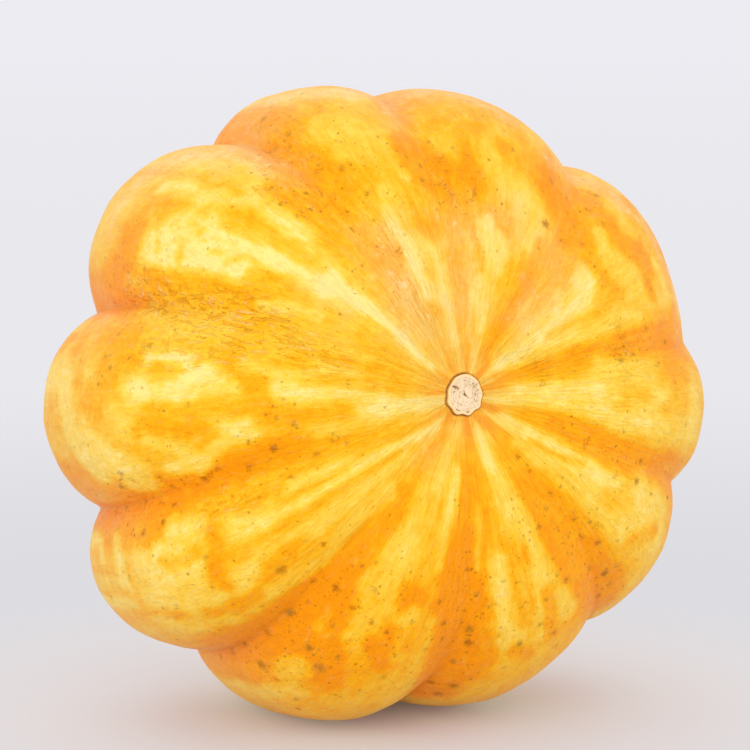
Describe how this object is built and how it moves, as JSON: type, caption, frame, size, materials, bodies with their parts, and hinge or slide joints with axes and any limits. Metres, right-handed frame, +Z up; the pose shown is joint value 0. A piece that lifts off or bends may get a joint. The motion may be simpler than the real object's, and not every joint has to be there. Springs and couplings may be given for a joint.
{
  "type": "mini pumpkin",
  "caption": "Small ribbed ornamental pumpkin, striped yellow and orange, its stem cut off short, standing on its rim with the stem end facing forward.",
  "frame": {"origin": "middle of the outline's footprint, on the surface the pumpkin stands on", "axes": "+Z up; -Y the way the stem end faces, its core axis leaning back a little; +X to the right as seen from the stem end"},
  "size_m": [0.1236, 0.0834, 0.1159],
  "materials": {
    "skin": "smooth waxy rind, satin gloss, streaked yellow and orange with small dull specks",
    "stem": "dry pale corky cut, matt"
  },
  "bodies": {
    "root": {"fruit": "skin", "cut_stem": "stem"}
  },
  "joints": []
}
